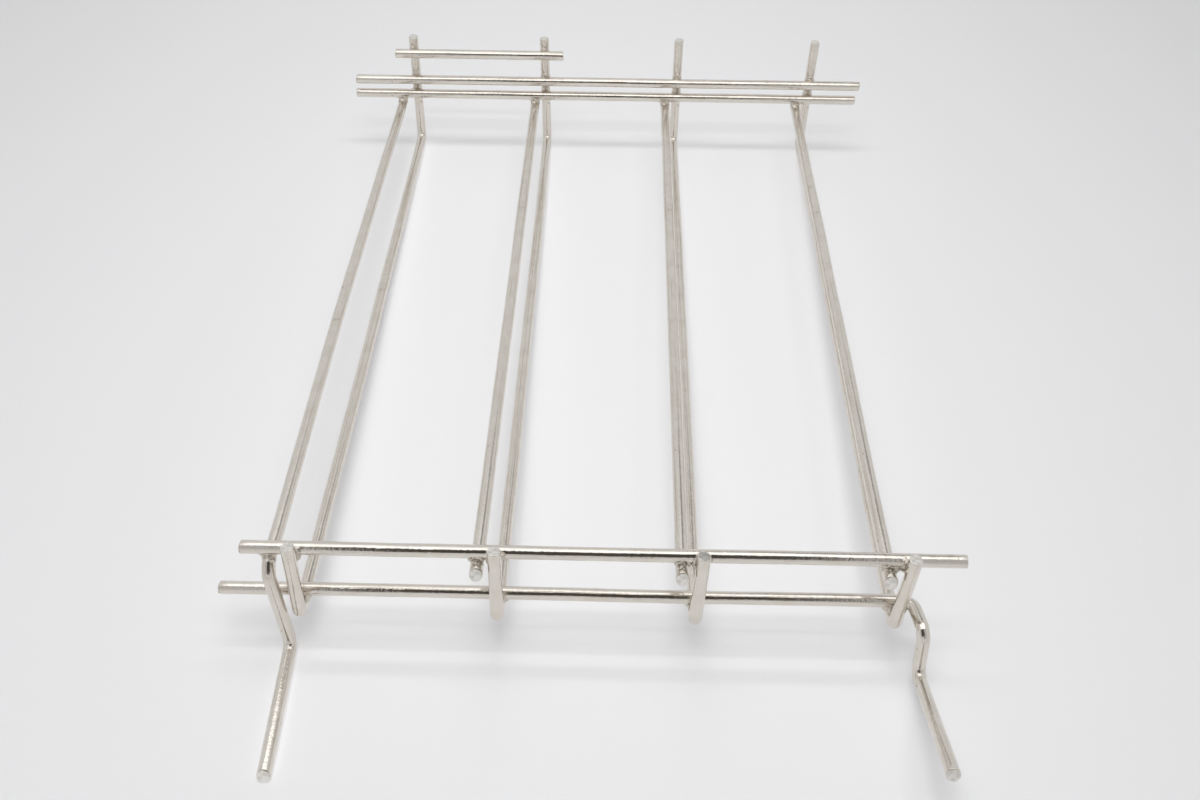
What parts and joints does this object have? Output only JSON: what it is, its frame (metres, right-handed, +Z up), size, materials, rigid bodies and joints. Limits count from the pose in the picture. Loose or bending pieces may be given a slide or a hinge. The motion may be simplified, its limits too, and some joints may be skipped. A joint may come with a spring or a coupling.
{
  "type": "wire rack",
  "caption": "Small welded rack of bright nickel-plated steel wire: U-shaped wires and raised deck wires tied by cross bars, with two bent prongs at the front.",
  "frame": {"origin": "centre of the rack's box, on the surface it stands on", "axes": "+X to the right along the cross bars, +Y from the prongs at the front to the uprights at the back, +Z up. The rack stands on its left prong and back bends, so its own base is tilted back about X."},
  "size_m": [0.2852, 0.4166, 0.0655],
  "materials": {
    "wire": "bright nickel plating on drawn steel wire, mirror-like and slightly uneven",
    "weld": "nickel-plated weld metal, duller and lumpy"
  },
  "bodies": {
    "root": {"u_wire_1": "wire", "u_wire_2": "wire", "u_wire_3": "wire", "u_wire_4": "wire", "deck_wire_1": "wire", "deck_wire_2": "wire", "deck_wire_3": "wire", "deck_wire_4": "wire", "front_upper_bar": "wire", "front_lower_bar": "wire", "back_short_bar": "wire", "back_middle_bar": "wire", "back_lower_bar": "wire", "weld_front_upper_u_1": "weld", "weld_front_upper_u_2": "weld", "weld_front_upper_u_3": "weld", "weld_front_upper_u_4": "weld", "weld_front_upper_deck_1": "weld", "weld_front_upper_deck_2": "weld", "weld_front_upper_deck_3": "weld", "weld_front_upper_deck_4": "weld", "weld_front_lower_u_1": "weld", "weld_front_lower_u_2": "weld", "weld_front_lower_u_3": "weld", "weld_front_lower_u_4": "weld", "weld_back_lower_deck_1": "weld", "weld_back_lower_deck_2": "weld", "weld_back_lower_deck_3": "weld", "weld_back_lower_deck_4": "weld", "weld_back_lower_u_1": "weld", "weld_back_lower_u_2": "weld", "weld_back_lower_u_3": "weld", "weld_back_lower_u_4": "weld", "weld_back_middle_u_1": "weld", "weld_back_middle_u_2": "weld", "weld_back_middle_u_3": "weld", "weld_back_middle_u_4": "weld", "weld_back_short_u_1": "weld", "weld_back_short_u_2": "weld"}
  },
  "joints": []
}
